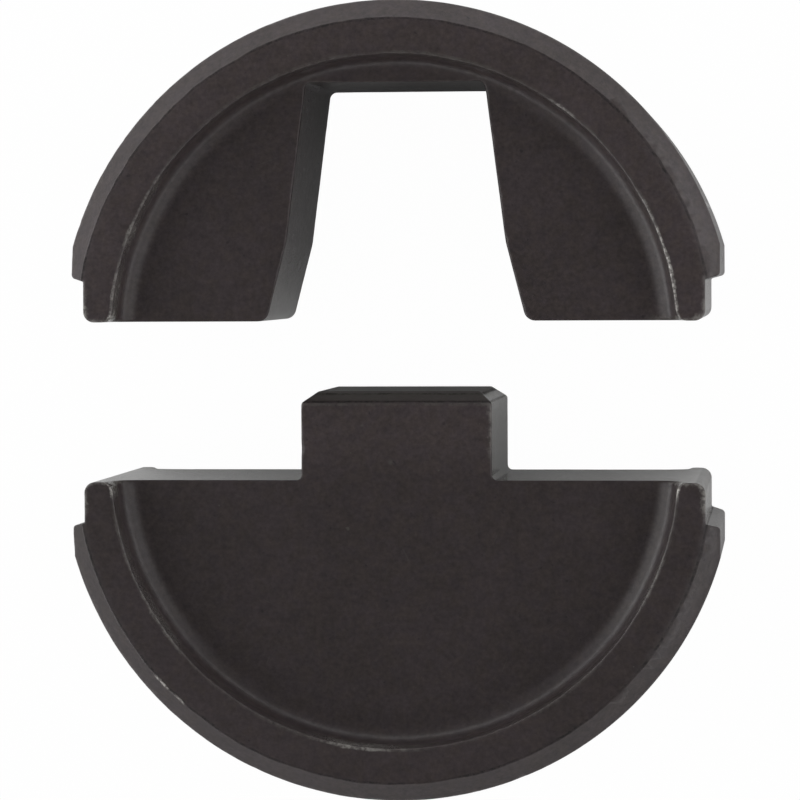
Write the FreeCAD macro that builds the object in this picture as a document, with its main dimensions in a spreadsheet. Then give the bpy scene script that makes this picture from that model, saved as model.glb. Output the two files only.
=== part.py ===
import FreeCAD, Part
import math
import os
import re
import Sketcher

# A pair of half-round crimping dies for a hydraulic press tool, lying flat beside each other.
# The upper die holds the trapezoid slot that a copper lug's barrel is pressed into.
# The lower die carries the rectangular punch that enters the slot as the two halves close.
# X runs across the dies, Y is the closing direction and Z is up, through their thickness.
# The origin is on the surface that they lie on, midway between the two parting faces.

SIZES = (
    # The half-round block that both dies are turned from
    ("seat_radius", 28.5, "radius of the half-round back, which seats in the press tool"),
    ("thickness", 25.0, "face to face over the rims"),
    ("centre_offset", 1.45, "the back's centre lies this far beyond the parting face"),
    ("edge_chamfer_radial", 1.6, "chamfer round the back's two edges, across the rim face"),
    ("edge_chamfer_axial", 1.8, "the same chamfer, along the thickness"),
    ("rim_width", 3.05, "flat face of the raised rim"),
    ("rim_edge_break", 0.25, "small bevel along the rim's inner edge"),
    ("recess_depth", 3.5, "from the rim face down to the web, on each side"),
    ("recess_fillet", 1.9, "hollow radius between the rim's wall and the web"),
    ("keeper_groove_width", 6.4, "groove in the middle of the back for the tool's latch pin"),
    ("keeper_groove_depth", 3.2, "depth of that groove"),
    ("keeper_groove_turn", 64.0, "how far the groove runs round the back, in degrees"),
    ("keeper_groove_end_flat", 0.4, "flat left between the rounded corners at each end of it"),
    # The ends of the half round, beside the parting face
    ("shoulder_half_width", 27.4, "from the middle to the flats on both sides of the back"),
    ("side_half_width", 26.2, "from the middle to the narrower flats by the parting face"),
    ("side_height", 3.45, "from the parting face to the shoulder"),
    ("shoulder_slope", 15.0, "the shoulder falls away outwards by this angle, in degrees"),
    ("shoulder_round", 0.4, "rounded outer edge of the shoulder"),
    ("end_round", 0.9, "rounded corner between the parting face and the side flat"),
    # The crimping slot in the upper die
    ("slot_end_wall", 6.85, "metal left between the slot's flat end and the back"),
    ("slot_end_width", 15.2, "width of the slot's flat end"),
    ("slot_bend_width", 18.65, "width where the flanks change angle"),
    ("slot_bend_height", 6.7, "from the parting face to that change"),
    ("slot_mouth_width", 22.1, "width at the parting face, before its corners are rounded"),
    ("slot_end_round", 0.6, "corners of the slot's flat end"),
    ("slot_mouth_round", 1.0, "corners where the flanks meet the parting face"),
    # The punch on the lower die
    ("punch_width", 16.25, "across the punch"),
    ("punch_height", 7.5, "from the parting face to the punch's nose"),
    ("punch_side_bevel", 1.25, "bevel at both sides of the nose, across the punch"),
    ("punch_side_drop", 0.95, "the same bevel, down the punch"),
    ("punch_end_bevel", 2.2, "bevel at the front and back of the nose, along the thickness"),
    ("punch_end_drop", 0.9, "the same bevel, down the punch"),
    ("punch_root_round", 0.45, "hollow radius where the punch meets the parting face"),
    # How the two halves stand in this set
    ("face_gap", 13.5, "between the two parting faces"),
    ("overrun", 2.0, "how far a cutting outline runs past the metal"),
)

# Formulas that several outlines share, in the sheet's own names
RIM_FACE_RADIUS = "(seat_radius - edge_chamfer_radial)"
RIM_WALL_RADIUS = "(seat_radius - edge_chamfer_radial - rim_width)"
FILLET_START_RADIUS = "(seat_radius - edge_chamfer_radial - rim_width - recess_fillet)"
GROOVE_FLOOR_RADIUS = "(seat_radius - keeper_groove_depth)"
HALF = "thickness / 2"
HALF_WEB = "(thickness / 2 - recess_depth)"
NOSE = "(centre_offset - punch_height)"
CENTRE_TO_MIDDLE = "(face_gap / 2 - centre_offset)"

doc = FreeCAD.newDocument("crimping_die")
sheet = doc.addObject("Spreadsheet::Sheet", "Sizes")
for row, (alias, size, meaning) in enumerate(SIZES, start=1):
    sheet.set("A%d" % row, alias)
    sheet.set("B%d" % row, str(size))
    sheet.set("C%d" % row, meaning)
    sheet.setAlias("B%d" % row, alias)
doc.recompute()

ALIAS_WORDS = re.compile(r"\b(%s)\b" % "|".join(alias for alias, size, meaning in SIZES))


def formula(text):
    """The sheet's form of a formula that is written with plain size names."""
    return ALIAS_WORDS.sub(r"Sizes.\1", text)


def amount(text):
    """What a formula of sizes comes to, in millimetres."""
    result = sheet.evalExpression(formula(text))
    return float(getattr(result, "Value", result))


def base_plane(body, role):
    """One of the body's own three base planes."""
    return next(plane for plane in body.Origin.OriginFeatures if plane.Role == role)


def arc_between(start, stop, radius, turn):
    """The shorter arc from start to stop, which bends left or right on its way."""
    chord = stop - start
    leftward = FreeCAD.Vector(-chord.y, chord.x, 0).normalize()
    rise = math.sqrt(max(radius ** 2 - (chord.Length / 2) ** 2, 0))
    side = rise if turn == "left" else -rise
    centre = (start + stop) * 0.5 + leftward * side
    circle = Part.Circle(centre, FreeCAD.Vector(0, 0, 1), radius)
    first, last = (start, stop) if turn == "left" else (stop, start)
    return Part.ArcOfCircle(circle, circle.parameter(first), circle.parameter(last))


def pin_point(sketch, geometry, end, corner):
    """Ties a point of a sketch to the sizes by its two coordinates."""
    for kind, axis, text in (("DistanceX", -2, corner[0]), ("DistanceY", -1, corner[1])):
        if text == "0":
            sketch.addConstraint(Sketcher.Constraint("PointOnObject", geometry, end, axis))
            continue
        rule = Sketcher.Constraint(kind, -1, 1, geometry, end, amount(text))
        sketch.setExpression("Constraints[%d]" % sketch.addConstraint(rule), formula(text))


def outline(body, name, role, corners):
    """A closed outline on one of the body's base planes.

    A corner is its two coordinates, reached by a straight line from the corner before it.
    A corner reached by an arc adds the arc's radius and the way that it bends.
    """
    sketch = body.newObject("Sketcher::SketchObject", name)
    sketch.AttachmentSupport = [(base_plane(body, role), "")]
    sketch.MapMode = "FlatFace"
    spots = [FreeCAD.Vector(amount(corner[0]), amount(corner[1]), 0) for corner in corners]
    ends = []
    for number, corner in enumerate(corners):
        start, stop = spots[number - 1], spots[number]
        if len(corner) == 2:
            sketch.addGeometry(Part.LineSegment(start, stop), False)
            ends.append((1, 2))
            continue
        radius, turn = corner[2:]
        sketch.addGeometry(arc_between(start, stop, amount(radius), turn), False)
        rule = sketch.addConstraint(Sketcher.Constraint("Radius", number, amount(radius)))
        sketch.setExpression("Constraints[%d]" % rule, formula(radius))
        ends.append((1, 2) if turn == "left" else (2, 1))
    for number, corner in enumerate(corners):
        following = (number + 1) % len(corners)
        leaving, arriving = ends[number][1], ends[following][0]
        sketch.addConstraint(
            Sketcher.Constraint("Coincident", number, leaving, following, arriving)
        )
        pin_point(sketch, number, leaving, corner)
    return sketch


def cut_through(body, name, role, corners):
    """Cuts an outline right through the body, both ways from its plane."""
    sketch = outline(body, name + "_outline", role, corners)
    cut = body.newObject("PartDesign::Pocket", name)
    cut.Profile = sketch
    cut.Type = "ThroughAll"
    cut.SideType = "Symmetric"
    body.Tip = cut
    return cut


def repeat_mirrored(body, name, feature, role):
    """Repeats a feature on the other side of one of the body's base planes."""
    mirrored = body.newObject("PartDesign::Mirrored", name)
    mirrored.Originals = [feature]
    mirrored.MirrorPlane = (base_plane(body, role), [""])
    body.Tip = mirrored


def round_edges(body, name, radius, wanted):
    """Rounds the edges whose two end points are wanted."""
    doc.recompute()
    base = body.Tip
    names = []
    for number, edge in enumerate(base.Shape.Edges, start=1):
        ends = [vertex.Point for vertex in edge.Vertexes]
        if len(ends) == 2 and wanted(*ends):
            names.append("Edge%d" % number)
    if not names:
        raise RuntimeError("no edges found for " + name)
    fillet = body.newObject("PartDesign::Fillet", name)
    fillet.Base = (base, names)
    fillet.setExpression("Radius", formula(radius))
    body.Tip = fillet


def upright_at(x, y):
    """Picks the edges that run along the thickness at a corner, on both sides of the middle."""
    def is_there(start, stop):
        spots = ((abs(start.x), start.y), (abs(stop.x), stop.y))
        return all(math.dist(spot, (x, y)) < 1e-4 for spot in spots)
    return is_there


def rim_section():
    """Half of the block's section: radius from the centre, and height from mid thickness."""
    return (
        ("0", "-" + HALF_WEB),
        (FILLET_START_RADIUS, "-" + HALF_WEB),
        (RIM_WALL_RADIUS, "-(%s + recess_fillet)" % HALF_WEB, "recess_fillet", "right"),
        (RIM_WALL_RADIUS, "rim_edge_break - " + HALF),
        (RIM_WALL_RADIUS + " + rim_edge_break", "-" + HALF),
        (RIM_FACE_RADIUS, "-" + HALF),
        ("seat_radius", "edge_chamfer_axial - " + HALF),
        ("seat_radius", HALF + " - edge_chamfer_axial"),
        (RIM_FACE_RADIUS, HALF),
        (RIM_WALL_RADIUS + " + rim_edge_break", HALF),
        (RIM_WALL_RADIUS, HALF + " - rim_edge_break"),
        (RIM_WALL_RADIUS, HALF_WEB + " + recess_fillet"),
        (FILLET_START_RADIUS, HALF_WEB, "recess_fillet", "right"),
        ("0", HALF_WEB),
    )


def side_outline():
    """What is cut away beside one end of the half round: corner, side flat and shoulder."""
    lean = "tan(shoulder_slope)"
    reach = "(shoulder_half_width - side_half_width)"
    setback = "shoulder_round * tan(45 - shoulder_slope / 2)"
    corner_y = "(centre_offset + side_height + %s * %s)" % (reach, lean)
    return (
        ("side_half_width - end_round", "-overrun"),
        ("side_half_width - end_round", "centre_offset"),
        ("side_half_width", "centre_offset + end_round", "end_round", "left"),
        ("side_half_width", "centre_offset + side_height"),
        (
            "shoulder_half_width - %s * cos(shoulder_slope)" % setback,
            "%s - %s * sin(shoulder_slope)" % (corner_y, setback),
        ),
        ("shoulder_half_width", "%s + %s" % (corner_y, setback), "shoulder_round", "left"),
        ("shoulder_half_width", "seat_radius"),
        ("seat_radius + overrun", "seat_radius"),
        ("seat_radius + overrun", "-overrun"),
    )


def cut_keeper_groove(body):
    """Cuts the latch pin's groove, an arc about the middle of the back with rounded ends."""
    groove = body.newObject("PartDesign::Groove", "keeper_groove")
    groove.Profile = outline(body, "keeper_groove_section", "YZ_Plane", (
        (GROOVE_FLOOR_RADIUS, "-keeper_groove_width / 2"),
        ("seat_radius + overrun", "-keeper_groove_width / 2"),
        ("seat_radius + overrun", "keeper_groove_width / 2"),
        (GROOVE_FLOOR_RADIUS, "keeper_groove_width / 2"),
    ))
    groove.ReferenceAxis = (groove.Profile[0], ["V_Axis"])
    groove.Midplane = True
    groove.setExpression("Angle", formula("keeper_groove_turn"))
    body.Tip = groove
    half_width = amount("keeper_groove_width / 2")

    def is_end_corner(start, stop):
        level = abs(abs(start.z) - half_width) < 1e-4 and abs(start.z - stop.z) < 1e-4
        return level and abs(start.x * stop.y - start.y * stop.x) < 1e-4

    round_edges(body, "keeper_groove_ends", "(keeper_groove_width - keeper_groove_end_flat) / 2",
                is_end_corner)


def half_round_block(name):
    """The block that both dies start from: a half round with a raised rim on each face."""
    body = doc.addObject("PartDesign::Body", name)
    body.Label = name
    turned = body.newObject("PartDesign::Revolution", "turned_block")
    turned.Profile = outline(body, "rim_section", "XZ_Plane", rim_section())
    turned.ReferenceAxis = (turned.Profile[0], ["V_Axis"])
    turned.Angle = 180
    body.Tip = turned
    across = "seat_radius + overrun"
    cut_through(body, "parting_face", "XY_Plane", (
        ("-(%s)" % across, "-overrun"),
        (across, "-overrun"),
        (across, "centre_offset"),
        ("-(%s)" % across, "centre_offset"),
    ))
    side = cut_through(body, "side_and_shoulder", "XY_Plane", side_outline())
    repeat_mirrored(body, "other_side_and_shoulder", side, "YZ_Plane")
    cut_keeper_groove(body)
    return body


def make_upper_die():
    """The die with the trapezoid slot, whose flanks open wider near the parting face."""
    body = half_round_block("upper_die")
    bend_y = "centre_offset + slot_bend_height"
    end_y = "seat_radius - slot_end_wall"
    cut_through(body, "crimping_slot", "XY_Plane", (
        ("-slot_mouth_width / 2", "-overrun"),
        ("slot_mouth_width / 2", "-overrun"),
        ("slot_mouth_width / 2", "centre_offset"),
        ("slot_bend_width / 2", bend_y),
        ("slot_end_width / 2", end_y),
        ("-slot_end_width / 2", end_y),
        ("-slot_bend_width / 2", bend_y),
        ("-slot_mouth_width / 2", "centre_offset"),
    ))
    mouth_corner = upright_at(amount("slot_mouth_width / 2"), amount("centre_offset"))
    end_corner = upright_at(amount("slot_end_width / 2"), amount(end_y))
    round_edges(body, "slot_mouth_corners", "slot_mouth_round", mouth_corner)
    round_edges(body, "slot_end_corners", "slot_end_round", end_corner)
    return body


def make_lower_die():
    """The die with the punch, bevelled round its nose and flush with the web's faces."""
    body = half_round_block("lower_die")
    root = "(punch_width / 2 + punch_root_round)"
    flank = "punch_width / 2"
    nose_edge = "(punch_width / 2 - punch_side_bevel)"
    shoulder_y = NOSE + " + punch_side_drop"
    root_y = "centre_offset - punch_root_round"
    punch = body.newObject("PartDesign::Pad", "punch")
    punch.Profile = outline(body, "punch_outline", "XY_Plane", (
        ("-" + root, "centre_offset + overrun"),
        ("-" + root, "centre_offset"),
        ("-" + flank, root_y, "punch_root_round", "right"),
        ("-" + flank, shoulder_y),
        ("-" + nose_edge, NOSE),
        (nose_edge, NOSE),
        (flank, shoulder_y),
        (flank, root_y),
        (root, "centre_offset", "punch_root_round", "right"),
        (root, "centre_offset + overrun"),
    ))
    punch.SideType = "Symmetric"
    punch.setExpression("Length", formula("2 * " + HALF_WEB))
    body.Tip = punch
    bevel = cut_through(body, "nose_end_bevel", "YZ_Plane", (
        (NOSE, HALF_WEB + " - punch_end_bevel"),
        (NOSE + " + punch_end_drop", HALF_WEB),
        (NOSE + " + punch_end_drop", HALF_WEB + " + overrun"),
        (NOSE + " - overrun", HALF_WEB + " + overrun"),
        (NOSE + " - overrun", HALF_WEB + " - punch_end_bevel"),
    ))
    repeat_mirrored(body, "other_nose_end_bevel", bevel, "XY_Plane")
    return body


def stand(body, quarter_turns, side):
    """Lays a die on its rim with its parting face towards the middle of the set."""
    turn = FreeCAD.Rotation(FreeCAD.Vector(0, 0, 1), 90 * quarter_turns)
    body.Placement = FreeCAD.Placement(FreeCAD.Vector(0, 0, 0), turn)
    body.setExpression("Placement.Base.y", formula(side + CENTRE_TO_MIDDLE))
    body.setExpression("Placement.Base.z", formula(HALF))


def check_features(body):
    """Stops if a feature failed, or if it left the solid as it found it."""
    volume = 0
    for feature in body.Group:
        if {"Invalid", "Error"} & set(feature.State):
            raise RuntimeError("%s of %s failed" % (feature.Name, body.Label))
        if not feature.isDerivedFrom("PartDesign::Feature"):
            continue
        if abs(feature.Shape.Volume - volume) < 1e-6:
            raise RuntimeError("%s of %s changed nothing" % (feature.Name, body.Label))
        volume = feature.Shape.Volume


upper_die = make_upper_die()
lower_die = make_lower_die()
stand(upper_die, 0, "")
stand(lower_die, 2, "-")
doc.recompute()

os.makedirs("parts", exist_ok=True)
for die in (upper_die, lower_die):
    check_features(die)
    if die.Shape.isNull() or not die.Shape.isValid() or len(die.Shape.Solids) != 1:
        raise RuntimeError(die.Label + " is not one valid solid")
for die in (upper_die, lower_die):
    die.Shape.exportStep("parts/%s.step" % die.Label)
    box = die.Shape.optimalBoundingBox()
    print("%s: %.0f mm3, X %.2f to %.2f, Y %.2f to %.2f, Z %.2f to %.2f" % (
        die.Label, die.Shape.Volume, box.XMin, box.XMax, box.YMin, box.YMax, box.ZMin, box.ZMax))
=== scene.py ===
import math

import bpy
import numpy as np
from mathutils import Matrix, Vector, noise
from mathutils.geometry import delaunay_2d_cdt


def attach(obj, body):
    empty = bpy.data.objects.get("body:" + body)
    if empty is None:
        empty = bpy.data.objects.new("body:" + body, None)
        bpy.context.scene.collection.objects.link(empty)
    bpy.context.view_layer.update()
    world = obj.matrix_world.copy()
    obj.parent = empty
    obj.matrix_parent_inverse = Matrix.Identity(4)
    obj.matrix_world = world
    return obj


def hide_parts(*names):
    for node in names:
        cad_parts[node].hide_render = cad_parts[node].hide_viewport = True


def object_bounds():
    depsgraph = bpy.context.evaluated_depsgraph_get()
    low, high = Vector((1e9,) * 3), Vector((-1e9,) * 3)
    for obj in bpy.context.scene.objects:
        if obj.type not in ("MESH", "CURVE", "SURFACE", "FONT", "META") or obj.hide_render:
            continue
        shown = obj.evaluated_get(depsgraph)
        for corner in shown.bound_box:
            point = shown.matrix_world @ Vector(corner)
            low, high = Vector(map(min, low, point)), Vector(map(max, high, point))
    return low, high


# A pair of half-round crimping dies in blackened steel, lying on a pale floor.
# Lengths are in millimetres, and become metres as each mesh is made.
# A die is drawn about its half round's centre: u runs across it, and v away from its parting face.

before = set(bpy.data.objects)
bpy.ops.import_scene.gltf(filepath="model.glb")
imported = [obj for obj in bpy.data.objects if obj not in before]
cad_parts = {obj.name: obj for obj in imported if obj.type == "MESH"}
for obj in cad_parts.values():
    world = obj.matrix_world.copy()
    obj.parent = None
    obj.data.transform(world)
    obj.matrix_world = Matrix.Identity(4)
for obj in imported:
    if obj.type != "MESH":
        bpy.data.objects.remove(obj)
cad_low, cad_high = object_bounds()

MM = 0.001

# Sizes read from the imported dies
THICKNESS = (cad_high.z - cad_low.z) / MM
SHOULDER_HALF_WIDTH = cad_high.x / MM

# The half-round block
SEAT_RADIUS = 28.5
CENTRE_OFFSET = 1.45
CENTRE_TO_MIDDLE = cad_high.y / MM - SEAT_RADIUS
RIM_FACE_RADIUS = 26.9
RIM_DUB_WIDTH = 0.5
RIM_DUB_SLOPE = 0.05
RIM_DUB_SLOPE_MORE = 0.27
CHAMFER_DROP = 1.8
RIM_WALL_RADIUS = 23.85
RIM_WALL_DRAFT = 0.02
RIM_LIP_ROUND = 0.17
RIM_CREASE_ROUND = 0.06
RIM_END_ROUND = 0.8
RECESS_DEPTH = 3.5
RECESS_FILLET = 1.9
SIDE_HALF_WIDTH = 26.2
SIDE_HEIGHT = 3.45
SHOULDER_SLOPE = math.radians(15)
SHOULDER_ROUND = 0.4
SHOULDER_ROOT_ROUND = 0.15
END_ROUND = 0.9

# The latch pin's groove in the middle of the back
GROOVE_WIDTH = 6.4
GROOVE_DEPTH = 3.2
GROOVE_TURN = math.radians(64)
GROOVE_CORNER_ROUND = 3.0
GROOVE_LIP_ROUND = 0.25
GROOVE_ROOT_ROUND = 0.3
GROOVE_WALL_DRAFT = 0.03

# The slot
SLOT_END = 21.65
SLOT_END_HALF = 7.6
SLOT_BEND = CENTRE_OFFSET + 6.7
SLOT_BEND_HALF = 9.325
SLOT_BEND_ROUND = 3.0
SLOT_MOUTH_HALF = 11.05
SLOT_END_ROUND = 0.6
SLOT_MOUTH_ROUND = 1.0

# The punch
PUNCH_HALF = 8.125
NOSE = CENTRE_OFFSET - 7.5
NOSE_SIDE_BEVEL = 1.25
NOSE_SIDE_DROP = 0.95
NOSE_END_BEVEL = 2.2
NOSE_END_DROP = 0.9
NOSE_CREASE_ROUND = 0.1
NOSE_CORNER_ROUND = 0.4
PUNCH_ROOT_ROUND = 0.45

# Mesh fineness
OUTLINE_STEP = 0.4
RING_STEP = 0.45
FACE_GRID_STEP = 1.1
GROOVE_GRID_STEP = 1.2
EDGE_ROUND_STEPS = 4
EDGE_FADE = 0.15
WALL_FADE = 0.7
GROOVE_MARGIN_TURN = 0.1
ON_FACE = 0.01
ON_BACK = 1e-6
SAME_PLACE = 1e-5

# Worn edges: how far they are rounded over, and how much that varies
EDGE_ROUND = 0.16
EDGE_ROUND_LEAST = 0.09
EDGE_ROUND_MOST = 0.36
NO_CREASE = 9.0
LIP_CLEAR = 0.8
GROOVE_RUBBING = 0.3
UPPER_SEED = 3
LOWER_SEED = 11
BACK_SEED_STEP = 40
# Each point's values for the wear, the painted shade lines and the painted light
WEAR_AND_PAINTED_LIGHT_GUIDES = ("edge_distance", "true_radius", "crease_distance", "rubbing", "paleness_and_painted_light")

# How much paler the upper die's web and rim are painted, as painted light that falls more on the upper
# die than on the lower, and how much paler the punch is
PAINTED_LIGHT_WEB = 0.4
PAINTED_LIGHT_RIM = 0.9
PALE_PUNCH = 0.8
PAINTED_LIGHT_RIM_FADE = 0.3
PALE_PUNCH_FADE = 1.5
# How far the walls are rubbed: where they meet another face, the share of that at the slot's mouth,
# and deep in the slot and on the back
WALL_RUBBING = 0.85
WALL_RUBBING_MOUTH_SHARE = 0.6
WALL_RUBBING_DEEP = 0.1

# Small dents on the punch's face: place in the set, and size
PUNCH_NICKS = ((-2.9, -2.1, 0.13), (-3.9, -4.4, 0.09), (3.6, -5.9, 0.09), (-0.5, -5.2, 0.28))

# Where a die is rubbed bright: place on its face, reach and strength
RIM_END_RUBBING = (
    (-26.0, 2.2, 2.4, 1.0), (-24.2, 1.8, 1.3, 0.9), (26.0, 2.2, 2.2, 0.8), (24.2, 1.8, 1.3, 0.9),
)
UPPER_RUBBING = RIM_END_RUBBING + (
    (23.9, 3.2, 3.2, 0.7), (22.9, 6.8, 4.5, 0.8), (21.5, 10.4, 2.4, 0.3), (-23.6, 4.4, 3.0, 0.4),
    (-21.3, 10.8, 5.0, 0.3), (14.4, 19.2, 1.6, 0.5),
)
LOWER_RUBBING = RIM_END_RUBBING + (
    (20.8, 11.8, 9.0, 0.18), (-21.5, 10.0, 4.0, 0.2), (3.0, 23.8, 5.0, 0.35), (-8.1, -3.0, 3.0, 0.6),
    (19.7, 18.4, 1.6, 0.75), (18.3, 19.9, 1.2, 0.75),
)
# How steeply a rubbed place fades: it is full up to a third of its reach
RUBBING_FADE = 1.5


def swing(place, fineness, seed):
    """A smooth irregular value from about -1 to 1 that changes over a place in millimetres."""
    spot = Vector((place[0] * fineness, place[1] * fineness, seed * 7.3 + 0.37))
    return 1.6 * noise.noise(spot)


def straight(start, stop):
    """Points from start up to, but not including, stop."""
    count = max(1, round(math.dist(start, stop) / OUTLINE_STEP))
    return [tuple(np.add(start, np.subtract(stop, start) * k / count)) for k in range(count)]


def rounded(before, corner, after, radius):
    """Points of the arc that rounds a corner."""
    before, corner, after = (np.array(p, float) for p in (before, corner, after))
    inward = (before - corner) / np.linalg.norm(before - corner)
    onward = (after - corner) / np.linalg.norm(after - corner)
    half = math.acos(float(np.clip(inward @ onward, -1, 1))) / 2
    middle = inward + onward
    centre = corner + middle / np.linalg.norm(middle) * radius / math.sin(half)
    first = corner + inward * radius / math.tan(half) - centre
    last = corner + onward * radius / math.tan(half) - centre
    turn = math.acos(float(np.clip(first @ last / radius ** 2, -1, 1)))
    count = max(3, round(math.degrees(turn) / 12), round(turn * radius / OUTLINE_STEP))
    points = []
    for k in range(count + 1):
        share = k / count
        along = math.sin((1 - share) * turn) * first + math.sin(share * turn) * last
        points.append(tuple(centre + along / math.sin(turn)))
    return points


def half_outline(corners):
    """The right half of an outline, from its first corner to the top of the half round."""
    points = []
    place = corners[0][:2]
    for number in range(1, len(corners) - 1):
        corner, following = corners[number], corners[number + 1]
        if len(corner) == 2:
            turn = [corner]
        else:
            turn = rounded(corners[number - 1][:2], corner[:2], following[:2], corner[2])
        points += straight(place, turn[0]) + turn[:-1]
        place = turn[-1]
    last = corners[-1][:2]
    points += straight(place, last)
    start = math.atan2(last[1], last[0])
    count = round((math.pi / 2 - start) * SEAT_RADIUS / OUTLINE_STEP)
    for k in range(count + 1):
        angle = start + (math.pi / 2 - start) * k / count
        points.append((SEAT_RADIUS * math.cos(angle), SEAT_RADIUS * math.sin(angle)))
    return points


def die_outline(inner_corners):
    """A die's closed outline, anticlockwise, from the corners of its crimping form."""
    reach = SHOULDER_HALF_WIDTH - SIDE_HALF_WIDTH
    side_top = CENTRE_OFFSET + SIDE_HEIGHT
    flat_top = math.sqrt(SEAT_RADIUS ** 2 - SHOULDER_HALF_WIDTH ** 2)
    block = [
        (SIDE_HALF_WIDTH, CENTRE_OFFSET, END_ROUND),
        (SIDE_HALF_WIDTH, side_top, SHOULDER_ROOT_ROUND),
        (SHOULDER_HALF_WIDTH, side_top + reach * math.tan(SHOULDER_SLOPE), SHOULDER_ROUND),
        (SHOULDER_HALF_WIDTH, flat_top),
    ]
    right = half_outline(inner_corners + block)
    left = [(-u, v) for u, v in reversed(right[1:-1])]
    return np.array(right + left)


def rim_profile():
    """The face's height above mid thickness against radius, from the web out to the back."""
    web = THICKNESS / 2 - RECESS_DEPTH
    rim = THICKNESS / 2
    points = [(0.0, web)]
    for k in range(11):
        angle = math.radians(9 * k)
        points.append((
            RIM_WALL_RADIUS - RECESS_FILLET * (1 - math.sin(angle)),
            web + RECESS_FILLET * (1 - math.cos(angle)),
        ))
    lip = RIM_WALL_RADIUS + RIM_WALL_DRAFT + RIM_LIP_ROUND
    for k in range(6):
        angle = math.radians(18 * k)
        points.append((
            lip - RIM_LIP_ROUND * math.cos(angle),
            rim - RIM_LIP_ROUND * (1 - math.sin(angle)),
        ))
    dub_start = RIM_FACE_RADIUS - RIM_DUB_WIDTH
    points.append((dub_start, rim))
    slope = (CHAMFER_DROP - RIM_DUB_SLOPE * RIM_DUB_WIDTH) / (SEAT_RADIUS - RIM_FACE_RADIUS)
    for share in (-1, -0.5, 0, 0.5, 1):
        radius = RIM_FACE_RADIUS + share * RIM_CREASE_ROUND
        steeper = (slope - RIM_DUB_SLOPE) * RIM_CREASE_ROUND * (1 + share) ** 2 / 4
        points.append((radius, rim - RIM_DUB_SLOPE * (radius - dub_start) - steeper))
    points.append((SEAT_RADIUS, rim - CHAMFER_DROP))
    return np.array(points)


PROFILE = rim_profile()

# Where the rim's two edges wander: the share of the wandering that each radius takes
LIP_SHARE = ((RIM_WALL_RADIUS - RECESS_FILLET, 0), (RIM_WALL_RADIUS, 1), (24.2, 1), (25.3, 0))
CREASE_SHARE = ((25.3, 0), (26.3, 1), (27.2, 1), (28.3, 0))


def edge_shift(points, radius, seed):
    """How far out the rim's features lie of their true circles, at points and a radius."""
    out = points / np.linalg.norm(points, axis=1)[:, None]
    lip = np.array([0.03 * swing(p, 6, seed) + 0.022 * swing(p, 26, seed + 1) for p in out])
    crease = np.array([0.045 * swing(p, 7, seed + 2) + 0.03 * swing(p, 30, seed + 3) for p in out])
    above = np.clip(RIM_END_ROUND - (points[:, 1] - CENTRE_OFFSET), 0, RIM_END_ROUND)
    flare = RIM_END_ROUND - np.sqrt(RIM_END_ROUND ** 2 - above ** 2)
    lip_share = np.interp(radius, *zip(*LIP_SHARE))
    crease_share = np.interp(radius, *zip(*CREASE_SHARE))
    return lip_share * (lip + flare) + crease_share * crease


def true_radius(points, seed):
    """The radius that each point would have if the rim's edges ran true."""
    far = np.linalg.norm(points, axis=1)
    result = far.copy()
    near_rim = far > LIP_SHARE[0][0]
    some = points[near_rim]
    for _ in range(6):
        result[near_rim] = far[near_rim] - edge_shift(some, result[near_rim], seed)
    return result


def dub_drop(points, radius, right):
    """How far the rim's outer edge is dubbed below its profile, on a die's right side."""
    turn = np.degrees(np.arctan2(points[:, 1], right * points[:, 0]))
    share = np.interp(turn, (0, 8, 35, 55), (0.7, 1, 1, 0))
    past = np.clip(radius - RIM_FACE_RADIUS + RIM_DUB_WIDTH, 0, None)
    profile = np.interp(radius, PROFILE[:, 0], PROFILE[:, 1])
    dubbed = THICKNESS / 2 - past * (RIM_DUB_SLOPE + RIM_DUB_SLOPE_MORE * share)
    return np.where(past > 0, np.maximum(profile - dubbed, 0), 0)


def nose_drop(v):
    """How far the bevel that ends the punch's nose lies below the web's face."""
    slope = NOSE_END_BEVEL / NOSE_END_DROP
    past = NOSE + NOSE_END_DROP - v
    near = np.clip(past + NOSE_CREASE_ROUND, 0, None) ** 2 / (4 * NOSE_CREASE_ROUND)
    return slope * np.where(past > NOSE_CREASE_ROUND, past, near)


def inward_normals(loop):
    """At each corner of a closed outline, the way in, lengthened at sharp corners."""
    ahead = np.roll(loop, -1, axis=0) - loop
    ahead /= np.linalg.norm(ahead, axis=1)[:, None]
    left = np.stack([-ahead[:, 1], ahead[:, 0]], axis=1)
    both = left + np.roll(left, 1, axis=0)
    both /= np.linalg.norm(both, axis=1)[:, None]
    return both / np.sum(both * left, axis=1)[:, None]


def inside(points, loop):
    """Which points lie inside a closed outline."""
    result = np.zeros(len(points), bool)
    for a, b in zip(loop, np.roll(loop, -1, axis=0)):
        crosses = (a[1] > points[:, 1]) != (b[1] > points[:, 1])
        if not crosses.any():
            continue
        u = a[0] + (points[:, 1] - a[1]) * (b[0] - a[0]) / ((b[1] - a[1]) or 1e-12)
        result ^= crosses & (points[:, 0] < u)
    return result


def edge_rounds(loop, seed):
    """How far the edge is worn round at each corner of the outline, with a few chips."""
    rounds = []
    for place in loop:
        size = EDGE_ROUND * (1 + 0.35 * swing(place, 0.35, seed) + 0.3 * swing(place, 1.6, seed + 1))
        chip = max(0.0, swing(place, 0.8, seed + 2) - 0.62)
        rounds.append(size + 0.5 * chip)
    return np.clip(rounds, EDGE_ROUND_LEAST, EDGE_ROUND_MOST)


def nearest_edge(points, loop, rounds):
    """Each point's distance to a closed outline, and the edge's roundness there."""
    best = np.full(len(points), 1e9)
    size = np.full(len(points), EDGE_ROUND)
    ends = zip(loop, np.roll(loop, -1, axis=0), rounds, np.roll(rounds, -1))
    for a, b, size_a, size_b in ends:
        along = b - a
        share = np.clip((points - a) @ along / (along @ along), 0, 1)
        gap = np.linalg.norm(points - a - share[:, None] * along, axis=1)
        nearer = gap < best
        best[nearer] = gap[nearer]
        size[nearer] = (size_a + share * (size_b - size_a))[nearer]
    return best, size


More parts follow.
